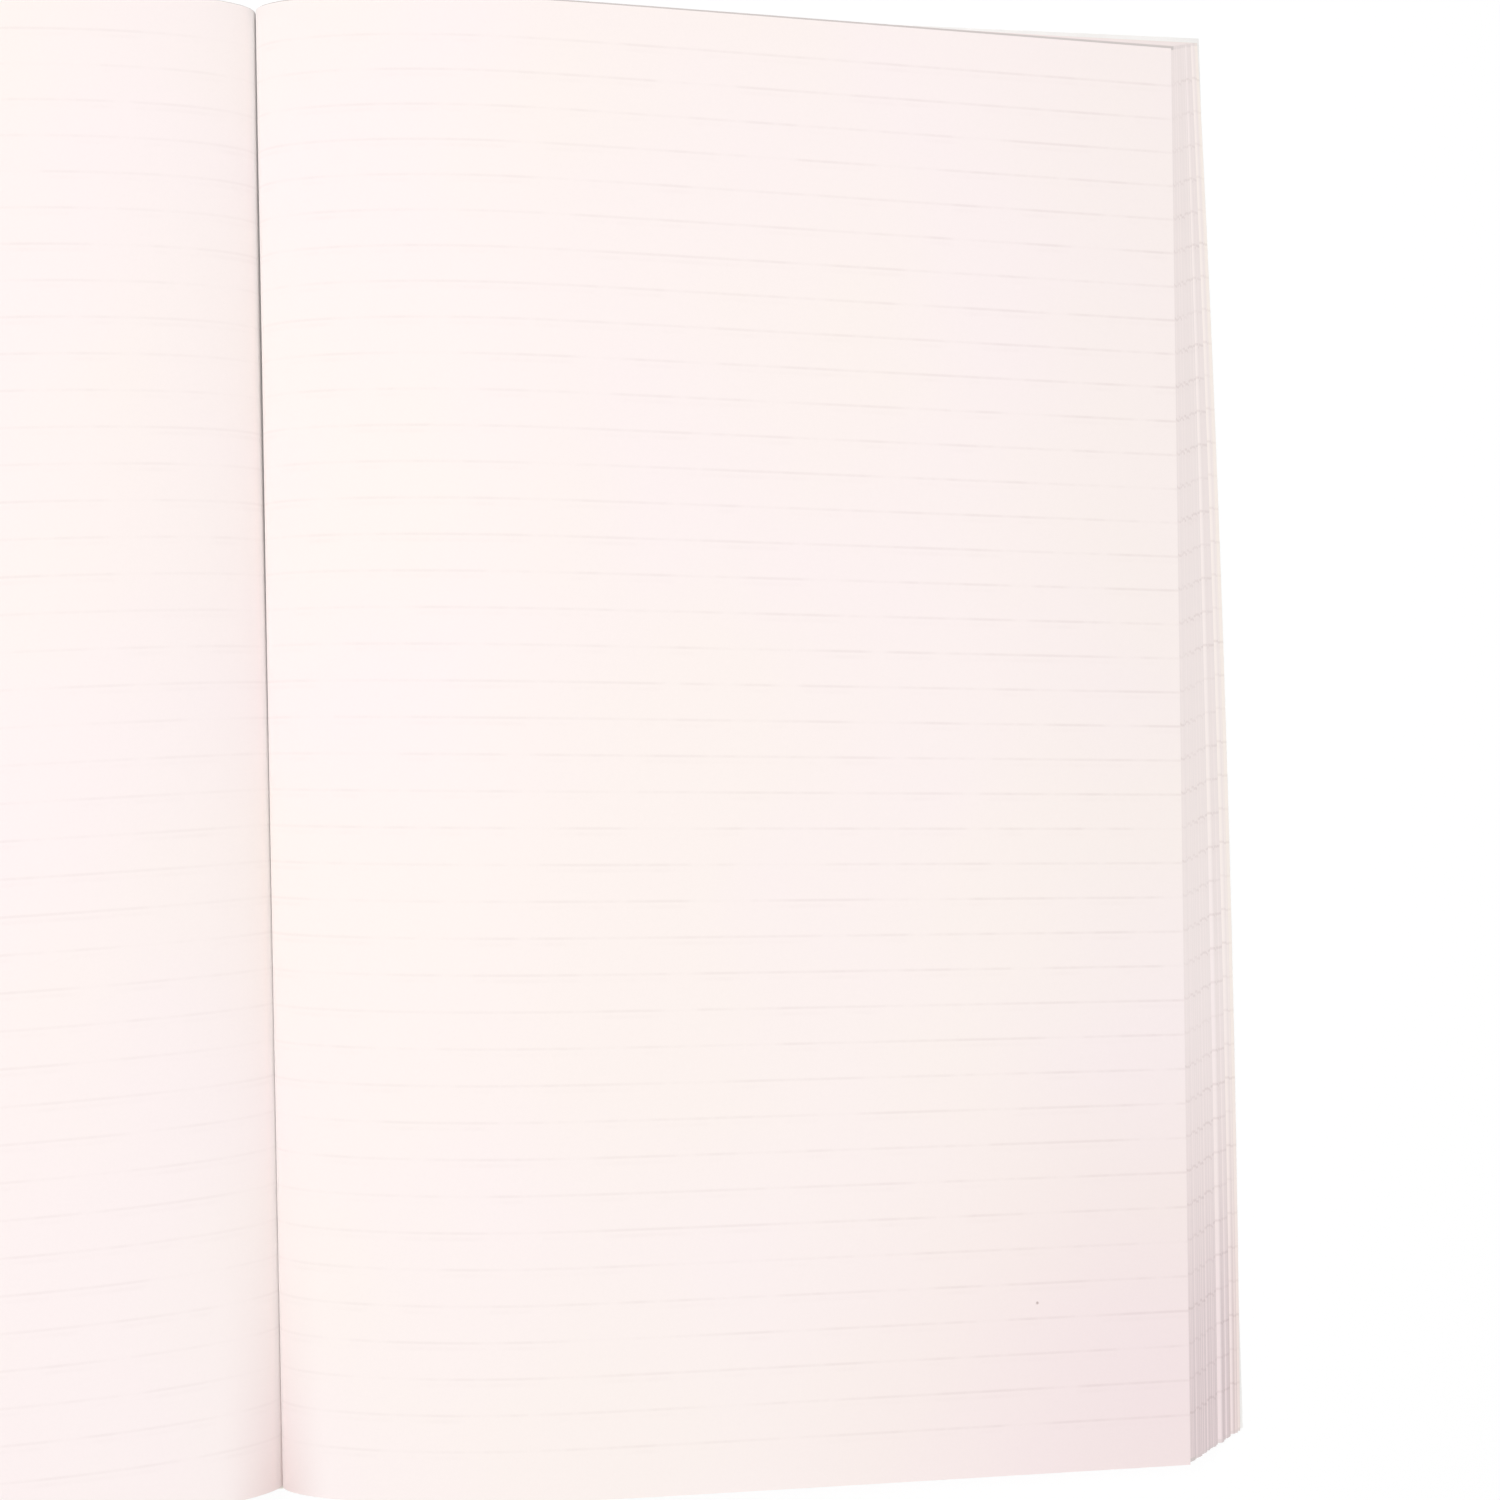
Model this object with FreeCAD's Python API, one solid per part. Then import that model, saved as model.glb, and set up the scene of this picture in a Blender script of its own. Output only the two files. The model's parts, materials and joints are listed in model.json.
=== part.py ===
"""Ruled folio notebook with a soft card cover, lying open near its middle.

Millimetres. +X runs across the spread towards the right-hand fore-edge, +Y along the
spine towards the head, +Z up. The origin is the middle of the spine's outer face.
"""
import FreeCAD, Part
import math
import os

Vector = FreeCAD.Vector

# Leaves
leaf_width = 216.0          # from the glued spine to the fore-edge
page_height = 330.0         # head to tail
spine_thickness = 9.0       # all the leaves pressed together at the glue
opening_depth = 3.0         # height above the table at which the two halves part

# How the open halves lie
crest_offset = 55.0         # from the middle of the spine to the top of the arch
cover_crest = 11.8          # underside of the arched cover above the table, half-way along
crest_sag = 4.3             # how much lower the arch is at the head and at the tail
crest_looseness = 0.7       # air between the leaves of one half, under the crest
fore_edge_looseness = 1.0   # and under the top leaf's fore-edge
gutter_roundness = 1.9      # exponent of the arch between gutter and crest
crest_radius_share = 0.1    # how softly the arch turns into the long slope
arch_take_up = 0.8          # reach that the bottom leaf loses to the arch

# Fan of the fore-edge
fan_retreat = 11.5          # top leaf's fore-edge inside the bottom leaf's, half-way along
fan_twist = 3.0             # less retreat at the head, and more at the tail
fan_bulge = 1.9             # how far the bottom leaf's fore-edge bows out, half-way along
fan_steps = 6               # bundles of leaves that show as steps
top_leaf_slide = 4.7        # top leaf's fore-edge corner lies this much towards the tail
gutter_slide = 2.0          # and its gutter corner this much towards the head

# Binding
card_thickness = 0.4        # cover card
glue_thickness = 0.3        # hot-melt strip on the spine
glue_inset = 0.5            # glue stops short of the head and the tail
fold_gap = 0.8              # width of each fold between spine and cover panel
cover_overhang = 0.8        # cover panel past the bottom leaf's fore-edge corners
end_overhang = 0.5          # cover past the leaves at the head and at the tail

half_spine = spine_thickness / 2
hinge_offset = half_spine + fold_gap / 2
leaf_base = card_thickness + glue_thickness
bottom_leaf_reach = half_spine + leaf_width - arch_take_up
top_leaf_reach = bottom_leaf_reach - fan_retreat
cover_reach = bottom_leaf_reach + cover_overhang
cover_length = page_height + 2 * end_overhang
crest_height = cover_crest + leaf_base + half_spine + crest_looseness
fore_edge_height = leaf_base + half_spine + fore_edge_looseness

# The curved surfaces pass through an even grid of points
reach_intervals = 48
height_intervals = 4
REACH_SHARES = [i / reach_intervals for i in range(reach_intervals + 1)]
HEIGHT_SHARES = [i / height_intervals - 0.5 for i in range(height_intervals + 1)]
cut_margin = 5.0            # how far a cutter runs past what it cuts


def bow(along):
    """1 half-way along the spine, 0 at the head and at the tail."""
    return 1 - (2 * along) ** 2


def slope_share(run):
    """0 at the crest, 1 at the fore-edge: level at first, then almost straight."""
    soft = crest_radius_share
    return (math.hypot(run, soft) - soft) / (math.hypot(1.0, soft) - soft)


def cover_rise(x, along):
    """Height of the arched cover above the flat spine panel."""
    crest = cover_crest - crest_sag * (1 - bow(along))
    if x <= hinge_offset:
        return 0.0
    if x < crest_offset:
        turn = (x - hinge_offset) / (crest_offset - hinge_offset)
        return crest * math.sin(math.pi / 2 * turn) ** 2
    return crest * (1 - slope_share((x - crest_offset) / (cover_reach - crest_offset)))


def top_leaf_height(x, along):
    """Height of the uppermost leaf above the table."""
    crest = crest_height - crest_sag * (1 - bow(along))
    if x < crest_offset:
        left = (1 - x / crest_offset) ** gutter_roundness
        return opening_depth + (crest - opening_depth) * (1 - left) ** (1 / gutter_roundness)
    run = (x - crest_offset) / (top_leaf_reach - crest_offset)
    return crest - (crest - fore_edge_height) * slope_share(run)


def top_leaf_y(x, along):
    """The uppermost leaf lies a little askew, because it was turned over."""
    slide = gutter_slide - (gutter_slide + top_leaf_slide) * x / top_leaf_reach
    return along * page_height + slide


def surface_through(point):
    """Smooth surface through point(reach share, height share) over the whole grid."""
    surface = Part.BSplineSurface()
    surface.interpolate([[point(s, t) for t in HEIGHT_SHARES] for s in REACH_SHARES])
    return surface


def closed_solid(faces):
    """One solid from faces that meet edge to edge."""
    shell = Part.makeShell(faces)
    shell.sewShape()
    solid = Part.makeSolid(Part.Shell(shell.Faces))
    if solid.Volume < 0:
        solid.reverse()
    return solid


def half_faces(upper, lower, with_inner_end):
    """Faces of a slab between two surfaces. The inner end may stay open."""
    first_u, last_u, first_v, last_v = upper.bounds()
    low_u, high_u, low_v, high_v = lower.bounds()
    faces = [upper.toShape(), lower.toShape()]
    ends = [(upper.uIso(last_u), lower.uIso(high_u)),
            (upper.vIso(first_v), lower.vIso(low_v)),
            (upper.vIso(last_v), lower.vIso(high_v))]
    if with_inner_end:
        ends.append((upper.uIso(first_u), lower.uIso(low_u)))
    for high_edge, low_edge in ends:
        faces.append(Part.makeRuledSurface(high_edge.toShape(), low_edge.toShape()))
    return faces


def leaf_half_faces():
    """Right-hand half of the leaves, open where it meets the other half."""
    def reach(along):
        return bottom_leaf_reach + fan_bulge * bow(along)

    def upper(share, along):
        x = share * reach(along)
        return Vector(x, top_leaf_y(x, along), top_leaf_height(x, along))

    def lower(share, along):
        x = share * reach(along)
        return Vector(x, along * page_height, leaf_base + cover_rise(x, along))

    return half_faces(surface_through(upper), surface_through(lower), False)


def fan_cutter(step):
    """Clears what lies above one step of the fan, out from its riser."""
    share = step / fan_steps
    slope = (crest_height - fore_edge_height) / (top_leaf_reach - crest_offset)
    height = leaf_base + share * (fore_edge_height - leaf_base)

    def riser(y):
        retreat = fan_retreat - fan_twist * 2 * y / page_height
        bulge = fan_bulge * (1 - share) / 2
        return bottom_leaf_reach - share * retreat + bulge

    def corner(x, y):
        return Vector(x, y, height - slope * (x - riser(0)))

    far = bottom_leaf_reach + fan_bulge + cut_margin
    end = page_height / 2 + top_leaf_slide + cut_margin
    outline = [corner(riser(-end), -end), corner(far, -end),
               corner(far, end), corner(riser(end), end)]
    plan = Part.Face(Part.makePolygon(outline + outline[:1]))
    return plan.extrude(Vector(0, 0, crest_height))


def mirrored(shape):
    return shape.mirror(Vector(0, 0, 0), Vector(1, 0, 0))


def make_page_block():
    """All the leaves as one solid, with the gutter valley and both stepped fans."""
    right = leaf_half_faces()
    block = closed_solid(right + [mirrored(face) for face in right])
    for step in range(1, fan_steps + 1):
        cutter = fan_cutter(step)
        block = block.cut([cutter, mirrored(cutter)]).Solids[0]
    return block


def make_cover_panel():
    """Right-hand cover panel, arched as the leaves on it are."""
    start = half_spine + fold_gap

    def sheet_at(lift):
        def point(share, along):
            x = start + share * (cover_reach - start)
            y = along * cover_length
            return Vector(x, y, lift + cover_rise(x, y / page_height))
        return surface_through(point)

    return closed_solid(half_faces(sheet_at(card_thickness), sheet_at(0.0), True))


def make_spine_panel():
    corner = Vector(-half_spine, -cover_length / 2, 0)
    return Part.makeBox(spine_thickness, cover_length, card_thickness, corner)


def make_spine_glue():
    length = page_height - 2 * glue_inset
    corner = Vector(-half_spine, -length / 2, card_thickness)
    return Part.makeBox(spine_thickness, length, glue_thickness, corner)


def main():
    os.makedirs("parts", exist_ok=True)
    back_cover = make_cover_panel()
    nodes = {
        "page_block": make_page_block(),
        "spine_glue": make_spine_glue(),
        "cover_spine": make_spine_panel(),
        "back_cover": back_cover,
        "front_cover": mirrored(back_cover),
    }
    for name, shape in nodes.items():
        shape.exportStep("parts/" + name + ".step")
        box = shape.BoundBox
        print(name, shape.ShapeType, len(shape.Solids), shape.isValid(),
              round(shape.Volume / 1000, 2), "cm3",
              [round(value, 2) for value in (box.XMin, box.XMax, box.YMin, box.YMax,
                                             box.ZMin, box.ZMax)])


main()
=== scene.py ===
"""Open ruled notebook: leaves, card cover, light and camera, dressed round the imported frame."""
import json
import math

import bpy
import numpy as np
from mathutils import Matrix, Vector


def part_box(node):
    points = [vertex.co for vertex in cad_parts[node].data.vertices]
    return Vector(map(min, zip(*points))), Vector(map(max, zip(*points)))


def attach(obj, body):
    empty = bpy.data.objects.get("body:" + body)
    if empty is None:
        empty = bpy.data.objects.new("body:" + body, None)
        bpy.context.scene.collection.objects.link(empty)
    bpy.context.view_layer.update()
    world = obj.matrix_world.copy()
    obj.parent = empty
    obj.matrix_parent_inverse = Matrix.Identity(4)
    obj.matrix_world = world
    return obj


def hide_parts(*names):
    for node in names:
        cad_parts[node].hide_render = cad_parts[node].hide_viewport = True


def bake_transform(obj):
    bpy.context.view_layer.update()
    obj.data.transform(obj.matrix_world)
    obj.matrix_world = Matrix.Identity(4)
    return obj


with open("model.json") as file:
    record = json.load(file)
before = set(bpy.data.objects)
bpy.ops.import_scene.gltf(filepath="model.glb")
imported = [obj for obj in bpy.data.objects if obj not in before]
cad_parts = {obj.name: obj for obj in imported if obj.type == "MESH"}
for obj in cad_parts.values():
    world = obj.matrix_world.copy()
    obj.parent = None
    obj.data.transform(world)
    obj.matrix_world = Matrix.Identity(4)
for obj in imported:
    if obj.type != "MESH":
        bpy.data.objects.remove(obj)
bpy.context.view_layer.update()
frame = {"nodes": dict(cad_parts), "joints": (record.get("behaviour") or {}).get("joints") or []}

MM = 0.001

# Sizes that the frame gives
SPINE_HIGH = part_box("cover_spine")[1]
COVER_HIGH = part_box("back_cover")[1]
BLOCK_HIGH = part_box("page_block")[1]
HALF_SPINE = SPINE_HIGH.x
CARD = SPINE_HIGH.z
COVER_HALF_LENGTH = SPINE_HIGH.y
LEAF_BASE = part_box("spine_glue")[1].z
COVER_REACH = COVER_HIGH.x
COVER_CREST = COVER_HIGH.z - CARD
CREST_HEIGHT = BLOCK_HIGH.z
HINGE_OFFSET = max(joint["pos_m"][0] for joint in frame["joints"])

# Leaves
LEAVES_PER_HALF = 45
LEAF_THICKNESS = 0.085 * MM
LEAF_WIDTH = 216 * MM
PAGE_HEIGHT = 330 * MM

# How unevenly the leaves were knocked up, to either side
EDGE_JOG = 0.1 * MM             # at the fore-edge
EDGE_TURN = 0.16 * MM           # at the fore-edge's ends, because each leaf is turned a little
END_JOG = 0.1 * MM              # at the head and at the tail
PRINT_JOG = 0.45 * MM           # rules of a leaf, off their place

# How the open halves lie
OPENING_DEPTH = 3.0 * MM        # height above the table at which the two halves part
CREST_OFFSET = 55 * MM          # from the middle of the spine to the top of the arch
CREST_SAG = 4.3 * MM            # how much lower the arch is at the head and at the tail
FORE_EDGE_HEIGHT = 6.2 * MM     # of the uppermost leaf, above the table
GUTTER_ROUNDNESS = 1.9          # exponent of the arch between gutter and crest
CREST_RADIUS_SHARE = 0.1        # how softly the arch turns into the long slope
GUTTER_GAP = 0.03 * MM          # half the gap between the two facing leaves at the glue
GUTTER_GAPE = 0.24 * MM         # added to it where the book is pressed open, in its head half
GAPE_PLACE = 0.29               # middle of that part, as a share of the height
GAPE_SPREAD = 0.27              # and how far it reaches from there, as a share too

# Fan of the fore-edge
COVER_OVERHANG = 0.8 * MM       # cover past the lowest leaf's fore-edge corners
FAN_RETREAT = 11.5 * MM         # uppermost fore-edge inside the lowest one, half-way along
FAN_TWIST = 3.0 * MM            # less retreat at the head, and more at the tail
FAN_BULGE = 1.9 * MM            # how far the lowest leaf's fore-edge bows out, half-way along
TOP_LEAF_SLIDE = 4.7 * MM       # uppermost leaf's fore-edge, nearer the tail than straight
GUTTER_SLIDE = 2.0 * MM         # and its gutter edge, nearer the head
BOTTOM_LEAF_SLIDE = 0.8 * MM    # so that the head ends of the leaves lean back evenly
TOP_LEAF_LAG = 0.4 * MM         # uppermost leaf nearer the tail than the leaf under it
BOTTOM_REACH = COVER_REACH - COVER_OVERHANG
TOP_REACH = BOTTOM_REACH - FAN_RETREAT
SLOPE = (CREST_HEIGHT - FORE_EDGE_HEIGHT) / (TOP_REACH - CREST_OFFSET)  # of the long fall

# Share of the retreat that a leaf has, by its number up from the cover: bundles of leaves
# that were knocked up together, with ledges between them
FAN_LEDGES = ((0, 0.0), (1, 0.06), (3, 0.075), (5, 0.105), (6, 0.195), (13, 0.33), (18, 0.365),
              (19, 0.45), (44, 1.0))

# Folds of the cover
CREASE_HEIGHT = 0.08 * MM       # ridge that creasing has left along each fold
CREASE_WIDTH = 0.25 * MM

# How finely the sheets are divided
LEAF_CELLS = (38, 14)           # across and along a leaf inside the stack
TOP_LEAF_CELLS = (110, 60)      # and the uppermost one, whose page shows whole
FOLD_CELLS = 8                  # across a fold of the cover
PANEL_CELLS = (70, 24)          # across and along a cover panel
GLUE_BIAS = 1.6                 # exponent that draws the cells of a leaf towards the glue
TOP_CURVE_STEPS = 1500          # fine steps along which a leaf's length is measured
BOTTOM_CURVE_STEPS = 800
SHARP_FROM = 40                 # degrees between two faces, from which their edge is sharp

# Paper
CREAM_PATCH = 60 * MM           # soft patches of cream
PAPER_FIBRE = 0.5 * MM          # drawn this coarse, so that the fibres show
GLUED_STRIP = 5 * MM            # strip along the glue, greyed with painted shade
GUTTER_STRIP = 17 * MM          # strip beyond it, out of the gutter, darkened with painted shade
SHADED_MARGIN = 60 * MM          # strip along the fore-edge, darkened with painted shade
SHADED_EDGE = 0.6 * MM            # painted shade along the fore-edge of every leaf but the uppermost
SHADED_END = 0.9 * MM            # painted shadow on the ends of those leaves, at the head and at the tail
CORNER_SHADE_REACH = 125 * MM        # reach of the painted shade from the outer tail corner
SPECK = (179.0 * MM, 291.3 * MM)    # on the right-hand page: out from the glue, and down
SPECK_CORE = 0.15 * MM          # radius of its dark middle
SPECK_RADIUS = 0.45 * MM

# Ruling
FIRST_RULE = 8.96 * MM          # below the head edge
RULE_SPACING = 7.94 * MM
RULE_COUNT = 40
RULE_WIDTH = 0.2 * MM
RULE_BLUR = 0.35 * MM           # beyond it on either side
REVERSE_OFFSET = 1.25 * MM      # rules of the reverse, nearer the tail
REVERSE_WIDTH = 0.3 * MM
REVERSE_BLUR = 0.5 * MM
INK_PATCH = 11 * MM             # length over which the ink of a rule varies

# Card and glue
CARD_CLOUD = 9 * MM             # cloudy formation
CARD_FIBRE = 0.4 * MM           # drawn this coarse, so that the fibres show
GLUE_STREAK = 2 * MM            # left by the roller

# Stage, light and camera
FLOOR_HALF = 4.0                # metres
FLOOR_DROP = 0.05 * MM          # below the cover, so that the two never share a plane
GLOW_START = 0.35               # metres from the spine's middle: the floor's glow grows here,
GLOW_FULL = 0.8                 # and from here on nothing else is seen of it
LAMP_AIM = Vector((50 * MM, 0, 0))      # on the right-hand page, over the arch
LAMP_WIDTH = 1.2                # metres
CAMERA_PLACE = Vector((86.6, -8.28, 300.98)) * MM
CAMERA_TURN = (-1.13, 4.064, 1.448)     # degrees off straight down: pitch, yaw and roll
SENSOR_WIDTH = 36               # millimetres, as the camera's data takes it
FOCAL_LENGTH = 31.2
NEAREST_SEEN = 10 * MM


# ---------------------------------------------------------------- shapes of the sheets

def bow(along):
    """1 half-way along the spine, 0 at the head and at the tail."""
    return 1 - (2 * along) ** 2


def slope_share(run):
    """0 at the crest, 1 at the fore-edge: level at first, then almost straight."""
    soft = CREST_RADIUS_SHARE
    return (np.hypot(run, soft) - soft) / (math.hypot(1, soft) - soft)


def cover_rise(x, along):
    """Height of the arched cover above the flat spine panel."""
    crest = COVER_CREST - CREST_SAG * (1 - bow(along))
    turn = np.clip((x - HINGE_OFFSET) / (CREST_OFFSET - HINGE_OFFSET), 0, 1)
    rising = crest * np.sin(math.pi / 2 * turn) ** 2
    falling = crest * (1 - slope_share((x - CREST_OFFSET) / (COVER_REACH - CREST_OFFSET)))
    return np.where(x < CREST_OFFSET, rising, falling)


def top_leaf_height(x, along):
    """Height of the uppermost leaf above the table."""
    crest = CREST_HEIGHT - CREST_SAG * (1 - bow(along))
    left = np.clip(1 - x / CREST_OFFSET, 0, 1) ** GUTTER_ROUNDNESS
    rising = OPENING_DEPTH + (crest - OPENING_DEPTH) * (1 - left) ** (1 / GUTTER_ROUNDNESS)
    run = (x - CREST_OFFSET) / (TOP_REACH - CREST_OFFSET)
    falling = crest - (crest - FORE_EDGE_HEIGHT) * slope_share(run)
    return np.where(x < CREST_OFFSET, rising, falling)


def divided(x, z, shares):
    """Points that divide the line x, z at the given shares of its length."""
    run = np.concatenate([[0], np.cumsum(np.hypot(np.diff(x), np.diff(z)))])
    return np.interp(shares * run[-1], run, x), np.interp(shares * run[-1], run, z)


def leaf_grid(cells):
    """Shares of a leaf's width, closer together near the glue, and places along the spine."""
    across, along = cells
    return np.linspace(0, 1, across + 1) ** GLUE_BIAS, np.linspace(-0.5, 0.5, along + 1)


def top_leaf_points(shares, alongs, lag=0.0):
    """The uppermost leaf: up from the glue, over the crest and down to the fore-edge."""
    points = np.zeros((len(shares), len(alongs), 3))
    for column, along in enumerate(alongs):
        reach = TOP_REACH + FAN_TWIST * 2 * along
        gap = GUTTER_GAP + GUTTER_GAPE * math.exp(-((along - GAPE_PLACE) / GAPE_SPREAD) ** 2)
        x = gap + (reach - gap) * np.linspace(0, 1, TOP_CURVE_STEPS) ** 2
        z = top_leaf_height(x, along)
        x, z = divided(np.concatenate([x[:1], x]), np.concatenate([[LEAF_BASE], z]), shares)
        slide = GUTTER_SLIDE - (GUTTER_SLIDE + TOP_LEAF_SLIDE) * x / TOP_REACH - lag
        points[:, column] = np.stack([x, along * PAGE_HEIGHT + slide, z], -1)
    return points


def bottom_leaf_points(shares, alongs):
    """The lowest leaf, which lies on the arched cover."""
    points = np.zeros((len(shares), len(alongs), 3))
    for column, along in enumerate(alongs):
        reach = BOTTOM_REACH + FAN_BULGE * bow(along)
        x = np.linspace(HALF_SPINE, reach, BOTTOM_CURVE_STEPS)
        x, z = divided(x, LEAF_BASE + LEAF_THICKNESS + cover_rise(x, along), shares)
        slide = -BOTTOM_LEAF_SLIDE * x / BOTTOM_REACH
        points[:, column] = np.stack([x, along * PAGE_HEIGHT + slide, z], -1)
    return points


def sheet_object(name, points, page, side):
    """Grid of faces through points, facing up. page holds each point's place on the sheet,
    and side is 1 for the right-hand half and -1 for the left-hand one."""
    rows, columns = points.shape[:2]
    number = np.arange(rows * columns).reshape(rows, columns)
    quads = np.stack([number[:-1, :-1], number[1:, :-1], number[1:, 1:], number[:-1, 1:]], -1)
    quads = quads.reshape(-1, 4)[:, ::side]
    mesh = bpy.data.meshes.new(name)
    mesh.from_pydata((points.reshape(-1, 3) * (side, 1, 1)).tolist(), [], quads.tolist())
    flat = page.reshape(-1, 2)
    layer = mesh.uv_layers.new(name="page")
    for loop in mesh.loops:
        layer.data[loop.index].uv = flat[loop.vertex_index]
    sheet = bpy.data.objects.new(name, mesh)
    bpy.context.scene.collection.objects.link(sheet)
    return sheet


def page_places(shares, alongs):
    """Place on the leaf in metres: out from the glue, and down from the head."""
    across, down = np.meshgrid(shares * LEAF_WIDTH, (0.5 - alongs) * PAGE_HEIGHT, indexing="ij")
    return np.stack([across, down], -1)


def thicken(sheet, thickness, shell_slot=0, rim_slot=0):
    """Gives the sheet its thickness, downwards from the face that was drawn."""
    solidify = sheet.modifiers.new("thickness", "SOLIDIFY")
    solidify.thickness = thickness
    solidify.offset = -1
    solidify.use_even_offset = True
    solidify.material_offset = shell_slot
    solidify.material_offset_rim = rim_slot


def make_plain(piece):
    """Swaps the piece's mesh for its finished one, and removes the modifiers."""
    graph = bpy.context.evaluated_depsgraph_get()
    mesh = bpy.data.meshes.new_from_object(piece.evaluated_get(graph), depsgraph=graph)
    piece.modifiers.clear()
    piece.data = mesh
    mesh.shade_smooth()
    mesh.set_sharp_from_angle(angle=math.radians(SHARP_FROM))


# ---------------------------------------------------------------- node helper and colours

def add(tree, kind, inputs=None, **settings):
    """Adds a node. Inputs that are sockets are linked, and other values are set.

    Inputs go by name or by number: those of a Map Range are its value, the range that it
    comes from (1, 2) and the range that it goes to (3, 4), and those of a Mix are its factor
    and then the pair of numbers (2, 3), of vectors (4, 5) or of colours (6, 7)."""
    node = tree.nodes.new(kind)
    for name, value in settings.items():
        setattr(node, name, value)
    for key, value in (inputs or {}).items():
        if isinstance(value, bpy.types.NodeSocket):
            tree.links.new(value, node.inputs[key])
        else:
            node.inputs[key].default_value = value
    return node


def srgb(code):
    """Linear colour of an sRGB hex value."""
    channels = [int(code[i:i + 2], 16) / 255 for i in (0, 2, 4)]
    linear = [c / 12.92 if c <= 0.04045 else ((c + 0.055) / 1.055) ** 2.4 for c in channels]
    return (*linear, 1.0)


# ---------------------------------------------------------------- materials

def new_material(name):
    material = bpy.data.materials.new(name)
    material.use_nodes = True
    tree = material.node_tree
    return material, tree, tree.nodes["Principled BSDF"]


def rule_mask(tree, down, offset, width, blur):
    """1 on a printed rule, 0 between. down is the distance from the head edge."""
    below = add(tree, "ShaderNodeMath", {0: down, 1: FIRST_RULE + offset}, operation="SUBTRACT")
    turns = add(tree, "ShaderNodeMath", {0: below.outputs[0], 1: RULE_SPACING}, operation="DIVIDE")
    nearest = add(tree, "ShaderNodeMath", {0: turns.outputs[0]}, operation="ROUND")
    kept = add(tree, "ShaderNodeClamp", {0: nearest.outputs[0], 1: 0.0, 2: RULE_COUNT - 1.0})
    off = add(tree, "ShaderNodeMath", {0: turns.outputs[0], 1: kept.outputs[0]},
              operation="SUBTRACT")
    away = add(tree, "ShaderNodeMath", {0: off.outputs[0]}, operation="ABSOLUTE")
    band = add(tree, "ShaderNodeMapRange",
               {0: away.outputs[0], 1: width / 2 / RULE_SPACING,
                2: (width / 2 + blur) / RULE_SPACING, 3: 1.0, 4: 0.0},
               interpolation_type="SMOOTHSTEP")
    return band.outputs[0]


def clean_sheet(tree, coords, across, down, cream):
    """Colour of a leaf: white, slightly pink or cream in patches, with painted shade by the gutter.
    """
    patches = add(tree, "ShaderNodeTexNoise",
                  {"Vector": coords, "Scale": 1 / CREAM_PATCH, "Detail": 2.0, "Roughness": 0.4})
    patch = add(tree, "ShaderNodeMapRange", {0: patches.outputs["Fac"], 1: 0.35, 2: 0.65})
    stock = add(tree, "ShaderNodeMix",
                {0: patch.outputs[0], 6: srgb("FEF3F2"), 7: srgb("FEF4F0")}, data_type="RGBA")
    # the lowest leaves have yellowed, and painted shade greys the sheet where it meets the glue
    aged = add(tree, "ShaderNodeMix", {0: cream, 6: stock.outputs[2], 7: srgb("FCF3EC")},
               data_type="RGBA")
    gutter_shade = add(tree, "ShaderNodeMapRange",
                {0: across, 1: 0.4 * GLUED_STRIP, 2: GLUED_STRIP, 3: 1.0, 4: 0.0})
    sheet = add(tree, "ShaderNodeMix", {0: gutter_shade.outputs[0], 6: aged.outputs[2],
                                        7: srgb("F3F1F0")}, data_type="RGBA")
    # and painted shade darkens it for some way out of the gutter, most of all at the tail
    low = add(tree, "ShaderNodeMath", {0: down, 1: PAGE_HEIGHT}, operation="DIVIDE")
    lowest = add(tree, "ShaderNodeMath", {0: low.outputs[0], 1: 12.0}, operation="POWER")
    inner = add(tree, "ShaderNodeMapRange",
                {0: across, 1: GLUED_STRIP, 2: GUTTER_STRIP, 3: 1.0, 4: 0.0},
                interpolation_type="SMOOTHSTEP")
    gutter_shade_strip = add(tree, "ShaderNodeMath", {0: lowest.outputs[0], 1: inner.outputs[0]},
               operation="MULTIPLY")
    gutter_shaded = add(tree, "ShaderNodeMix", {0: gutter_shade_strip.outputs[0], 6: sheet.outputs[2],
                                         7: srgb("F3EBEA")}, data_type="RGBA",
                 blend_type="MULTIPLY")
    return gutter_shaded.outputs[2]


def sheet_shade(tree, to_edge, fibres):
    """How much darker than its colour the sheet is, by its fibres, from leaf to leaf, and by
    painted shade along the fore-edge.
    """
    fibre = add(tree, "ShaderNodeMapRange", {0: fibres, 1: 0.3, 2: 0.7, 3: 0.985, 4: 1.0})
    tone = add(tree, "ShaderNodeAttribute", attribute_name="tone")
    leaf_tone = add(tree, "ShaderNodeMapRange", {0: tone.outputs["Fac"], 3: 1.0, 4: 0.98})
    even = add(tree, "ShaderNodeMath", {0: fibre.outputs[0], 1: leaf_tone.outputs[0]},
               operation="MULTIPLY")
    # painted shade: the margin along the fore-edge is a little darker
    margin_shade = add(tree, "ShaderNodeMapRange", {0: to_edge, 1: 0.0, 2: SHADED_MARGIN,
                                              3: 0.98, 4: 1.0}, interpolation_type="SMOOTHSTEP")
    shade = add(tree, "ShaderNodeMath", {0: even.outputs[0], 1: margin_shade.outputs[0]},
                operation="MULTIPLY")
    return shade.outputs[0]


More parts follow.
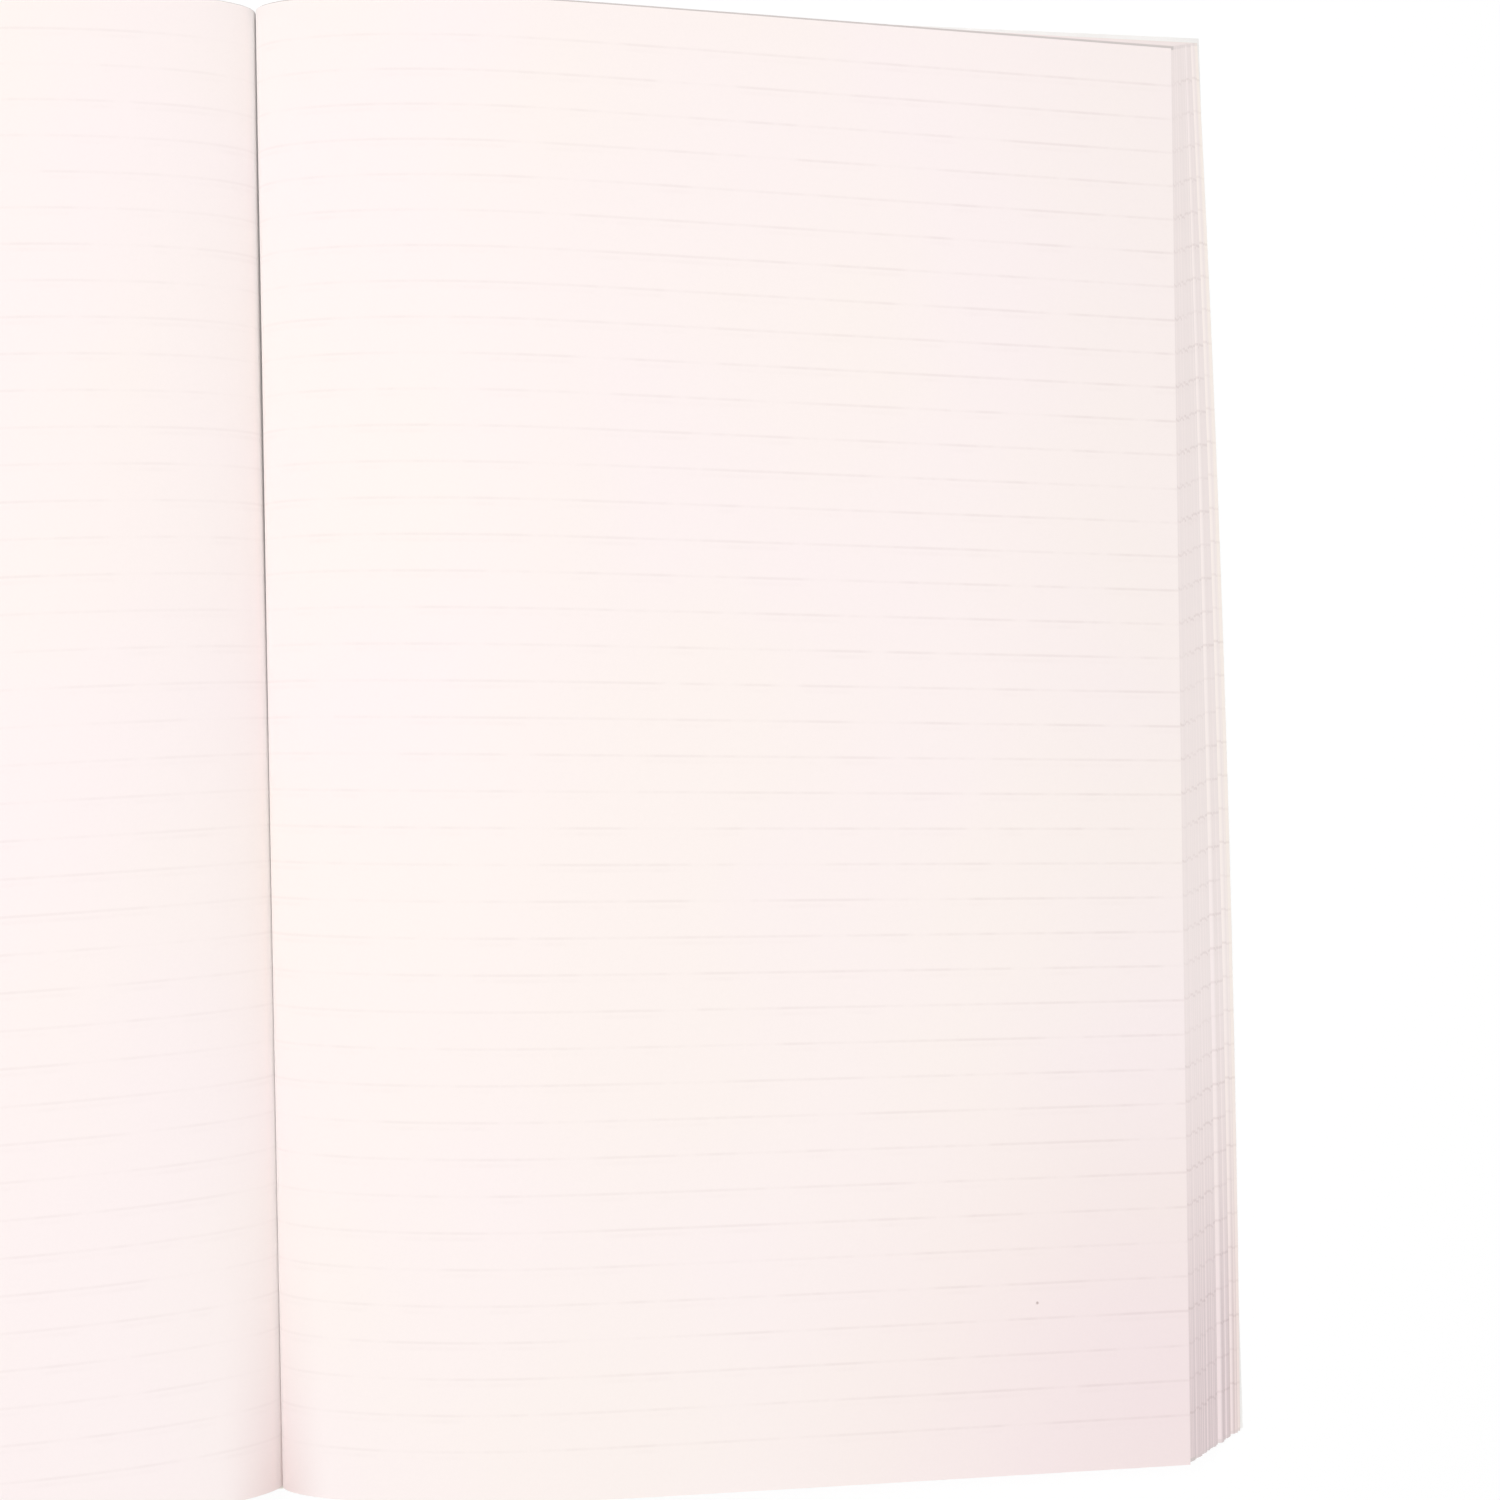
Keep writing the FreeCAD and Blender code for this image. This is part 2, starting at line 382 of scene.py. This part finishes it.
def add_painted_shade(tree, page, down, to_edge, cream, edge_shade_and_ink, sheet):
    """Paints shade on the fanned leaves' cut edges, darker near the outer tail corner, with a brown
    painted shadow line on the lowest leaves there, shades that corner, and paints a shadow on the
    ends of the leaves. sheet is the colour to start from."""
    # painted shade, strongest at the outer tail corner
    corner = add(tree, "ShaderNodeVectorMath", {0: page, 1: (LEAF_WIDTH, PAGE_HEIGHT, 0.0)},
                 operation="DISTANCE")
    corner_shade = add(tree, "ShaderNodeMapRange", {0: corner.outputs["Value"], 1: 0.0, 2: CORNER_SHADE_REACH,
                                             3: 1.0, 4: 0.0}, interpolation_type="SMOOTHSTEP")
    near = add(tree, "ShaderNodeMath", {0: corner_shade.outputs[0], 1: 2.0}, operation="POWER")
    # painted shade for the cut edges, darker near that corner, and a brown painted shadow line on
    # the cream lowest leaves there
    edge_shade_colour = add(tree, "ShaderNodeMix", {0: near.outputs[0], 6: srgb("EDE3E1"),
                                         7: srgb("D8CECD")}, data_type="RGBA")
    shadow_line = add(tree, "ShaderNodeMath", {0: near.outputs[0], 1: cream}, operation="MULTIPLY")
    painted_edge_shade = add(tree, "ShaderNodeMix", {0: shadow_line.outputs[0], 6: edge_shade_colour.outputs[2],
                                       7: srgb("D0BFB7")}, data_type="RGBA")
    # the painted shade lies along the fore-edge of every leaf but the uppermost
    edge = add(tree, "ShaderNodeMapRange", {0: to_edge, 1: SHADED_EDGE, 2: 0.0})
    edge_shade_mask = add(tree, "ShaderNodeMath", {0: edge.outputs[0], 1: edge_shade_and_ink}, operation="MULTIPLY")
    edge_shaded = add(tree, "ShaderNodeMix", {0: edge_shade_mask.outputs[0], 6: sheet, 7: painted_edge_shade.outputs[2]},
               data_type="RGBA")
    # and painted shade over the whole corner
    corner_shaded = add(tree, "ShaderNodeMix", {0: corner_shade.outputs[0], 6: edge_shaded.outputs[2],
                                          7: srgb("FAF4F7")}, data_type="RGBA",
                  blend_type="MULTIPLY")
    # painted shadow on the ends of the leaves, darkest right under the uppermost leaf
    to_tail = add(tree, "ShaderNodeMath", {0: PAGE_HEIGHT, 1: down}, operation="SUBTRACT")
    to_end = add(tree, "ShaderNodeMath", {0: to_tail.outputs[0], 1: down}, operation="MINIMUM")
    end = add(tree, "ShaderNodeMapRange",
              {0: to_end.outputs[0], 1: SHADED_END, 2: 0.7 * SHADED_END})
    under = add(tree, "ShaderNodeAttribute", attribute_name="under")
    end_shade = add(tree, "ShaderNodeMath", {0: end.outputs[0], 1: under.outputs["Fac"]},
               operation="MULTIPLY")
    end_shaded = add(tree, "ShaderNodeMix", {0: end_shade.outputs[0], 6: corner_shaded.outputs[2],
                                        7: srgb("D0C7C5")}, data_type="RGBA")
    return end_shaded.outputs[2]


def printed_ink(tree, coords, across, down, edge_shade_and_ink):
    """How much ink shows: thin grey rules, laid unevenly and more fully towards the fore-edge,
    and the rules of the reverse, which show through faintly."""
    register = add(tree, "ShaderNodeAttribute", attribute_name="register")
    printed = add(tree, "ShaderNodeMath", {0: down, 1: register.outputs["Fac"]},
                  operation="ADD").outputs[0]
    uneven = add(tree, "ShaderNodeTexNoise",
                 {"Vector": coords, "Scale": 1 / INK_PATCH, "Detail": 3.0, "Roughness": 0.6})
    laid = add(tree, "ShaderNodeMapRange",
               {0: uneven.outputs["Fac"], 1: 0.38, 2: 0.62, 3: 0.12, 4: 1.0})
    # under the uppermost leaf, where less of it has rubbed off, some more is left
    fresh = add(tree, "ShaderNodeMath", {0: edge_shade_and_ink, 1: 0.3, 2: laid.outputs[0]},
                operation="MULTIPLY_ADD")
    fuller = add(tree, "ShaderNodeMapRange", {0: across, 1: 0.0, 2: LEAF_WIDTH, 3: 0.34, 4: 0.86})
    ink = add(tree, "ShaderNodeMath", {0: fresh.outputs[0], 1: fuller.outputs[0]},
              operation="MULTIPLY")
    front = rule_mask(tree, printed, 0.0, RULE_WIDTH, RULE_BLUR)
    front_ink = add(tree, "ShaderNodeMath", {0: front, 1: ink.outputs[0]}, operation="MULTIPLY")
    reverse = rule_mask(tree, printed, REVERSE_OFFSET, REVERSE_WIDTH, REVERSE_BLUR)
    ghost = add(tree, "ShaderNodeMapRange",
                {0: uneven.outputs["Fac"], 1: 0.45, 2: 0.7, 3: 0.0, 4: 0.2})
    reverse_ink = add(tree, "ShaderNodeMath", {0: reverse, 1: ghost.outputs[0]},
                      operation="MULTIPLY")
    inked = add(tree, "ShaderNodeMath", {0: front_ink.outputs[0], 1: reverse_ink.outputs[0]},
                operation="MAXIMUM")
    return inked.outputs[0]


def ruled_paper(name, speck=None):
    """Uncoated wood-free writing paper, calendered smooth and offset ruled. It is matt, a
    slightly pink white that drifts to cream in soft patches, with pale grey rules. A leaf
    without the attributes of the stack reads 0 for each, as the uppermost one does."""
    material, tree, surface = new_material(name)
    coords = add(tree, "ShaderNodeTexCoord").outputs["Object"]
    page = add(tree, "ShaderNodeUVMap", uv_map="page").outputs[0]
    across, down = add(tree, "ShaderNodeSeparateXYZ", {0: page}).outputs[:2]
    to_edge = add(tree, "ShaderNodeMath", {0: LEAF_WIDTH, 1: across},
                  operation="SUBTRACT").outputs[0]
    cream = add(tree, "ShaderNodeAttribute", attribute_name="cream").outputs["Fac"]
    edge_shade_and_ink = add(tree, "ShaderNodeAttribute", attribute_name="edge_shade_and_ink").outputs["Fac"]
    fibres = add(tree, "ShaderNodeTexNoise", {"Vector": coords, "Scale": 1 / PAPER_FIBRE,
                                              "Detail": 5.0, "Roughness": 0.65}).outputs["Fac"]

    clean = clean_sheet(tree, coords, across, down, cream)
    shade = sheet_shade(tree, to_edge, fibres)
    tinted = add(tree, "ShaderNodeMix", {0: 1.0, 6: clean, 7: shade}, data_type="RGBA",
                 blend_type="MULTIPLY").outputs[2]
    # painted shade and shadow on the leaves' edges, their ends and the outer tail corner
    painted_shaded = add_painted_shade(tree, page, down, to_edge, cream, edge_shade_and_ink, tinted)
    ink = printed_ink(tree, coords, across, down, edge_shade_and_ink)
    colour = add(tree, "ShaderNodeMix", {0: ink, 6: painted_shaded, 7: srgb("F4F2F2")},
                 data_type="RGBA", blend_type="MULTIPLY").outputs[2]
    if speck:
        place = add(tree, "ShaderNodeVectorMath", {0: page, 1: (*speck, 0.0)},
                    operation="DISTANCE")
        dot = add(tree, "ShaderNodeMapRange", {0: place.outputs["Value"], 1: SPECK_CORE,
                                               2: SPECK_RADIUS, 3: 0.8, 4: 0.0})
        colour = add(tree, "ShaderNodeMix", {0: dot.outputs[0], 6: colour, 7: srgb("B9A3A0")},
                     data_type="RGBA").outputs[2]

    bump = add(tree, "ShaderNodeBump", {"Height": fibres, "Strength": 0.12,
                                        "Distance": 0.05 * MM})
    tree.links.new(colour, surface.inputs["Base Color"])
    tree.links.new(bump.outputs[0], surface.inputs["Normal"])
    surface.inputs["Roughness"].default_value = 0.85
    surface.inputs["IOR"].default_value = 1.45
    surface.inputs["Specular IOR Level"].default_value = 0.25
    return material


def cover_card(name, pale, deep):
    """Uncoated bleached card, pressed from pulp: matt, with a soft cloudy formation and short
    fibres that catch the light."""
    material, tree, surface = new_material(name)
    coords = add(tree, "ShaderNodeTexCoord").outputs["Object"]
    clouds = add(tree, "ShaderNodeTexNoise",
                 {"Vector": coords, "Scale": 1 / CARD_CLOUD, "Detail": 4.0, "Roughness": 0.6})
    fibres = add(tree, "ShaderNodeTexNoise",
                 {"Vector": coords, "Scale": 1 / CARD_FIBRE, "Detail": 5.0, "Roughness": 0.7})
    both = add(tree, "ShaderNodeMath", {0: clouds.outputs["Fac"], 1: fibres.outputs["Fac"]},
               operation="ADD")
    blend = add(tree, "ShaderNodeMapRange", {0: both.outputs[0], 1: 0.75, 2: 1.25})
    colour = add(tree, "ShaderNodeMix", {0: blend.outputs[0], 6: srgb(pale), 7: srgb(deep)},
                 data_type="RGBA")
    bump = add(tree, "ShaderNodeBump", {"Height": both.outputs[0], "Strength": 0.2,
                                        "Distance": 0.08 * MM})
    tree.links.new(colour.outputs[2], surface.inputs["Base Color"])
    tree.links.new(bump.outputs[0], surface.inputs["Normal"])
    surface.inputs["Roughness"].default_value = 0.8
    surface.inputs["IOR"].default_value = 1.45
    surface.inputs["Specular IOR Level"].default_value = 0.3
    return material


def hot_melt(name):
    """Ethylene-vinyl-acetate binding glue, rolled on hot: waxy, ivory and slightly glossy."""
    material, tree, surface = new_material(name)
    coords = add(tree, "ShaderNodeTexCoord").outputs["Object"]
    streaks = add(tree, "ShaderNodeTexNoise",
                  {"Vector": coords, "Scale": 1 / GLUE_STREAK, "Detail": 3.0, "Distortion": 0.6})
    colour = add(tree, "ShaderNodeMix", {0: streaks.outputs["Fac"], 6: srgb("EFE6D2"),
                                         7: srgb("E2D5BA")}, data_type="RGBA")
    bump = add(tree, "ShaderNodeBump", {"Height": streaks.outputs["Fac"], "Strength": 0.4,
                                        "Distance": 0.1 * MM})
    tree.links.new(colour.outputs[2], surface.inputs["Base Color"])
    tree.links.new(bump.outputs[0], surface.inputs["Normal"])
    surface.inputs["Roughness"].default_value = 0.38
    surface.inputs["IOR"].default_value = 1.48
    return material


# ---------------------------------------------------------------- leaves

def marked_leaves(tree, leaves, number, place, draw, given):
    """Stores what the paper's material reads on the leaves: each one's tone and cream, how far
    its rules are off their place, how much ink is left on it, and how strongly painted shade greys
    its fore-edge and its ends."""
    tone = add(tree, "FunctionNodeRandomValue",
               {2: 0.0, 3: 1.0, "ID": number, "Seed": given["Seed"]}, data_type="FLOAT")
    register = add(tree, "ShaderNodeMath", {0: draw, 1: given["Print Jog"]},
                   operation="MULTIPLY")
    cream = add(tree, "ShaderNodeMapRange", {0: place, 1: 0.0, 2: 0.2, 3: 1.0, 4: 0.0})
    # weight of the ink that is left and of the painted shade on the fore-edge, growing up the stack
    edge_shade_and_ink = add(tree, "ShaderNodeMapRange", {0: number, 1: 0.0, 2: 6.0, 3: 0.1, 4: 1.0})
    # weight of the painted shadow on the ends, strongest just under the uppermost leaf
    under = add(tree, "ShaderNodeMapRange", {0: place, 1: 0.84, 2: 0.9, 3: 0.3, 4: 1.0})
    for name, value in (("tone", tone.outputs[1]), ("cream", cream.outputs[0]),
                        ("register", register.outputs[0]), ("edge_shade_and_ink", edge_shade_and_ink.outputs[0]),
                        ("under", under.outputs[0])):
        leaves = add(tree, "GeometryNodeStoreNamedAttribute",
                     {"Geometry": leaves, "Name": name, "Value": value},
                     data_type="FLOAT", domain="POINT").outputs[0]
    return leaves


def leaf_stack_tree():
    """Lays copies of one sheet between its own place and the points in its attribute upper."""
    tree = bpy.data.node_groups.new("leaf stack", "GeometryNodeTree")
    for name, kind in (("Sheet", "Geometry"), ("Leaves", "Int"), ("Side", "Float"),
                       ("Slope", "Float"), ("Edge Jog", "Float"), ("Edge Turn", "Float"),
                       ("End Jog", "Float"), ("Print Jog", "Float"), ("Seed", "Int"),
                       ("Material", "Material")):
        tree.interface.new_socket(name, in_out="INPUT", socket_type="NodeSocket" + kind)
    tree.interface.new_socket("Stack", in_out="OUTPUT", socket_type="NodeSocketGeometry")
    given = add(tree, "NodeGroupInput").outputs

    sheet = add(tree, "GeometryNodeGeometryToInstance", {0: given["Sheet"]})
    copies = add(tree, "GeometryNodeDuplicateElements",
                 {"Geometry": sheet.outputs[0], "Amount": given["Leaves"]}, domain="INSTANCE")
    numbered = add(tree, "GeometryNodeStoreNamedAttribute",
                   {"Geometry": copies.outputs[0], "Name": "leaf", "Value": copies.outputs[1]},
                   data_type="INT", domain="INSTANCE")
    loose = add(tree, "GeometryNodeRealizeInstances", {0: numbered.outputs[0]})

    leaf = add(tree, "GeometryNodeInputNamedAttribute", {"Name": "leaf"}, data_type="INT")
    middle = add(tree, "ShaderNodeMath", {0: leaf.outputs[0], 1: 0.5}, operation="ADD")
    whole = add(tree, "ShaderNodeMath", {0: given["Leaves"], 1: 1.0}, operation="ADD")
    place = add(tree, "ShaderNodeMath", {0: middle.outputs[0], 1: whole.outputs[0]},
                operation="DIVIDE")
    chance = add(tree, "FunctionNodeRandomValue",
                 {0: (-1.0, -1.0, -1.0), 1: (1.0, 1.0, 1.0), "ID": leaf.outputs[0],
                  "Seed": given["Seed"]}, data_type="FLOAT_VECTOR")
    draws = add(tree, "ShaderNodeSeparateXYZ", {0: chance.outputs[0]}).outputs

    # the fan: leaf edges retreat in ledges, and only towards the fore-edge
    out = add(tree, "GeometryNodeInputNamedAttribute", {"Name": "out"}, data_type="FLOAT")
    late = add(tree, "ShaderNodeMath", {0: out.outputs[0], 1: 2.0}, operation="POWER")
    ledges = add(tree, "ShaderNodeFloatCurve", {"Value": place.outputs[0]})
    curve = ledges.mapping.curves[0]
    for number, share in FAN_LEDGES:
        curve.points.new((number + 0.5) / LEAVES_PER_HALF, share).handle_type = "VECTOR"
    ledges.mapping.update()
    fanned = add(tree, "ShaderNodeMix", {0: late.outputs[0], 2: place.outputs[0],
                                         3: ledges.outputs[0]})

    lower = add(tree, "GeometryNodeInputPosition").outputs[0]
    upper = add(tree, "GeometryNodeInputNamedAttribute", {"Name": "upper"},
                data_type="FLOAT_VECTOR").outputs[0]
    straight = add(tree, "ShaderNodeMix", {0: place.outputs[0], 4: lower, 5: upper},
                   data_type="VECTOR").outputs[1]
    shifted = add(tree, "ShaderNodeMix", {0: fanned.outputs[0], 4: lower, 5: upper},
                  data_type="VECTOR").outputs[1]
    lag = add(tree, "ShaderNodeVectorMath", {0: shifted, 1: straight}, operation="SUBTRACT")
    lags = add(tree, "ShaderNodeSeparateXYZ", {0: lag.outputs[0]}).outputs

    # every leaf is knocked up a little unevenly, and turned a little
    along = add(tree, "GeometryNodeInputNamedAttribute", {"Name": "along"}, data_type="FLOAT")
    turn = add(tree, "ShaderNodeMath", {0: draws[2], 1: along.outputs[0]}, operation="MULTIPLY")
    turned = add(tree, "ShaderNodeMath", {0: turn.outputs[0], 1: given["Edge Turn"]},
                 operation="MULTIPLY")
    jog = add(tree, "ShaderNodeMath", {0: draws[0], 1: given["Edge Jog"], 2: turned.outputs[0]},
              operation="MULTIPLY_ADD")
    sideways = add(tree, "ShaderNodeMath", {0: jog.outputs[0], 1: given["Side"]},
                   operation="MULTIPLY")
    shift_x = add(tree, "ShaderNodeMath", {0: sideways.outputs[0], 1: late.outputs[0], 2: lags[0]},
                  operation="MULTIPLY_ADD")
    shift_y = add(tree, "ShaderNodeMath", {0: draws[1], 1: given["End Jog"], 2: lags[1]},
                  operation="MULTIPLY_ADD")
    fall = add(tree, "ShaderNodeMath", {0: shift_x.outputs[0], 1: given["Slope"]},
               operation="MULTIPLY")
    shift_z = add(tree, "ShaderNodeMath", {0: fall.outputs[0], 1: given["Side"]},
                  operation="MULTIPLY")
    shift = add(tree, "ShaderNodeCombineXYZ", {0: shift_x.outputs[0], 1: shift_y.outputs[0],
                                               2: shift_z.outputs[0]})
    laid = add(tree, "GeometryNodeSetPosition", {"Geometry": loose.outputs[0], "Position": straight,
                                                 "Offset": shift.outputs[0]})

    marked = marked_leaves(tree, laid.outputs[0], leaf.outputs[0], place.outputs[0], draws[1],
                           given)
    whole_stack = add(tree, "GeometryNodeRealizeInstances", {0: marked})
    finished = add(tree, "GeometryNodeSetMaterial", {"Geometry": whole_stack.outputs[0],
                                                     "Material": given["Material"]})
    add(tree, "NodeGroupOutput", {0: finished.outputs[0]})
    return tree


def set_inputs(modifier, values):
    """Sets a node modifier's inputs by their sockets' identifiers."""
    for item in modifier.node_group.interface.items_tree:
        if item.in_out == "INPUT" and item.name in values:
            modifier[item.identifier] = values[item.name]


def store(mesh, name, kind, values):
    """Stores one value for each point of the mesh."""
    attribute = mesh.attributes.new(name, kind, "POINT")
    key = "vector" if kind == "FLOAT_VECTOR" else "value"
    attribute.data.foreach_set(key, np.asarray(values, dtype=np.float32).ravel())


def make_leaf_stack(name, side, tree, paper):
    """All the leaves of one half but the uppermost, as separate sheets in one mesh."""
    shares, alongs = leaf_grid(LEAF_CELLS)
    lower = bottom_leaf_points(shares, alongs)
    upper = top_leaf_points(shares, alongs) * (side, 1, 1)
    stack = sheet_object(name, lower, page_places(shares, alongs), side)
    out, along = np.meshgrid(shares, alongs, indexing="ij")
    store(stack.data, "upper", "FLOAT_VECTOR", upper)
    store(stack.data, "out", "FLOAT", out)
    store(stack.data, "along", "FLOAT", 2 * along)
    layers = stack.modifiers.new("leaves", "NODES")
    layers.node_group = tree
    set_inputs(layers, {"Leaves": LEAVES_PER_HALF - 1, "Side": float(side), "Slope": -SLOPE,
                        "Edge Jog": EDGE_JOG, "Edge Turn": EDGE_TURN, "End Jog": END_JOG,
                        "Print Jog": PRINT_JOG, "Seed": 11 + side, "Material": paper})
    thicken(stack, LEAF_THICKNESS)
    make_plain(stack)
    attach(stack, "book")
    return stack


def make_top_leaf(name, side, paper):
    """The uppermost leaf of one half, whose page shows whole."""
    shares, alongs = leaf_grid(TOP_LEAF_CELLS)
    points = top_leaf_points(shares, alongs, TOP_LEAF_LAG)
    leaf = sheet_object(name, points, page_places(shares, alongs), side)
    leaf.data.materials.append(paper)
    thicken(leaf, LEAF_THICKNESS)
    make_plain(leaf)
    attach(leaf, "book")


# ---------------------------------------------------------------- cover

def make_cover(name, node, side, inside, outside, cut_edge):
    """One cover panel with its fold. The fold's inner edge stays with the spine."""
    fold_end = 2 * HINGE_OFFSET - HALF_SPINE
    fold = np.linspace(HALF_SPINE, fold_end, FOLD_CELLS + 1)
    panel = np.linspace(fold_end, COVER_REACH, PANEL_CELLS[0] + 1)
    x = np.concatenate([fold, panel[1:]])
    y = np.linspace(-COVER_HALF_LENGTH, COVER_HALF_LENGTH, PANEL_CELLS[1] + 1)
    across, along = np.meshgrid(x, y, indexing="ij")
    crease = CREASE_HEIGHT * np.exp(-((across - HINGE_OFFSET) / CREASE_WIDTH) ** 2)
    height = CARD + cover_rise(across, along / PAGE_HEIGHT) + crease
    points = np.stack([across, along, height], -1)
    cover = sheet_object(name, points, np.stack([across, along], -1), side)
    for material in (inside, outside, cut_edge):
        cover.data.materials.append(material)
    thicken(cover, CARD, shell_slot=1, rim_slot=2)
    make_plain(cover)
    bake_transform(cover)
    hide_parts(node)


# ---------------------------------------------------------------- stage, light and camera

def make_floor():
    """Matt white table top, which keeps the notebook's shadow. Seen directly it glows as well,
    and far from the notebook it only glows, so that no far edge shows."""
    corners = [(x * FLOOR_HALF, y * FLOOR_HALF, 0) for x, y in ((-1, -1), (1, -1), (1, 1), (-1, 1))]
    mesh = bpy.data.meshes.new("floor")
    mesh.from_pydata(corners, [], [(0, 1, 2, 3)])
    floor = bpy.data.objects.new("floor", mesh)
    bpy.context.scene.collection.objects.link(floor)
    material = bpy.data.materials.new("matt_white_table")
    material.use_nodes = True
    tree = material.node_tree
    tree.nodes.clear()
    path = add(tree, "ShaderNodeLightPath")
    seen = add(tree, "ShaderNodeMath",
               {0: path.outputs["Is Camera Ray"], 1: path.outputs["Is Glossy Ray"]},
               operation="MAXIMUM")
    place = add(tree, "ShaderNodeTexCoord").outputs["Object"]
    away = add(tree, "ShaderNodeVectorMath", {0: place}, operation="LENGTH")
    glowing = add(tree, "ShaderNodeMapRange",
                  {0: away.outputs["Value"], 1: GLOW_START, 2: GLOW_FULL, 3: 0.72, 4: 1.0})
    share = add(tree, "ShaderNodeMath", {0: seen.outputs[0], 1: glowing.outputs[0]},
                operation="MULTIPLY")
    matt = add(tree, "ShaderNodeBsdfDiffuse", {"Color": srgb("FBFBFB")})
    glow = add(tree, "ShaderNodeEmission", {"Color": srgb("FFFFFF"), "Strength": 1.03})
    mixed = add(tree, "ShaderNodeMixShader", {0: share.outputs[0], 1: matt.outputs[0],
                                              2: glow.outputs[0]})
    add(tree, "ShaderNodeOutputMaterial", {0: mixed.outputs[0]})
    mesh.materials.append(material)
    floor.location.z = -FLOOR_DROP


def make_world():
    """Dim white room, which is seen as plain white."""
    world = bpy.data.worlds.new("studio")
    bpy.context.scene.world = world
    world.use_nodes = True
    tree = world.node_tree
    tree.nodes.clear()
    path = add(tree, "ShaderNodeLightPath")
    seen = add(tree, "ShaderNodeMath",
               {0: path.outputs["Is Camera Ray"], 1: path.outputs["Is Glossy Ray"]},
               operation="MAXIMUM")
    dim = add(tree, "ShaderNodeBackground", {"Color": srgb("FFFFFF"), "Strength": 0.25})
    white = add(tree, "ShaderNodeBackground", {"Color": srgb("FFFFFF"), "Strength": 1.0})
    mixed = add(tree, "ShaderNodeMixShader", {0: seen.outputs[0], 1: dim.outputs[0],
                                              2: white.outputs[0]})
    add(tree, "ShaderNodeOutputWorld", {0: mixed.outputs[0]})


def make_lamp(name, place, power):
    """Soft round lamp, aimed at the open page. Its place is in metres, its power in watts."""
    light = bpy.data.lights.new(name, "AREA")
    light.shape = "DISK"
    light.size = LAMP_WIDTH
    light.energy = power
    lamp = bpy.data.objects.new(name, light)
    lamp.location = place
    aim = LAMP_AIM - lamp.location
    lamp.rotation_euler = aim.to_track_quat("-Z", "Y").to_euler()
    lamp.visible_camera = False
    bpy.context.scene.collection.objects.link(lamp)


def make_camera():
    """Nearly overhead and close, above the right-hand page."""
    pitch, yaw, roll = (math.radians(angle) for angle in CAMERA_TURN)
    turn = (Matrix.Rotation(pitch, 3, "X") @ Matrix.Rotation(yaw, 3, "Y")
            @ Matrix.Rotation(roll, 3, "Z"))
    data = bpy.data.cameras.new("camera")
    data.sensor_width = SENSOR_WIDTH
    data.lens = FOCAL_LENGTH
    data.clip_start = NEAREST_SEEN
    camera = bpy.data.objects.new("camera", data)
    camera.matrix_world = Matrix.Translation(CAMERA_PLACE) @ turn.transposed().to_4x4()
    bpy.context.scene.collection.objects.link(camera)
    bpy.context.scene.camera = camera


# ---------------------------------------------------------------- assembly

paper = ruled_paper("ruled_writing_paper")
marked_paper = ruled_paper("ruled_writing_paper_with_speck", SPECK)
card_inside = cover_card("card_inside", "F5F3F1", "F0EEEC")
card_outside = cover_card("card_outside", "E9E4DA", "DDD7CB")
card_edge = cover_card("card_cut_edge", "F3EEE6", "E9E2D7")
glue = hot_melt("binding_hot_melt")

stack_tree = leaf_stack_tree()
for side, half, cover_body in ((1, "right", "back_cover"), (-1, "left", "front_cover")):
    stack = make_leaf_stack("leaves_" + half, side, stack_tree, paper)
    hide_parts("page_block")
    make_top_leaf("top_leaf_" + half, side, marked_paper if side > 0 else paper)
    make_cover(cover_body + "_card", cover_body, side, card_inside, card_outside, card_edge)

for node, material in (("cover_spine", card_outside), ("spine_glue", glue)):
    frame["nodes"][node].data.materials.clear()
    frame["nodes"][node].data.materials.append(material)

make_floor()
make_world()
make_lamp("overhead", place=(0.05, -0.1, 1.8), power=20.4)
make_lamp("window", place=(-0.68, 0.73, 1.474), power=8.1)
make_camera()
bpy.context.scene.view_settings.view_transform = "Standard"
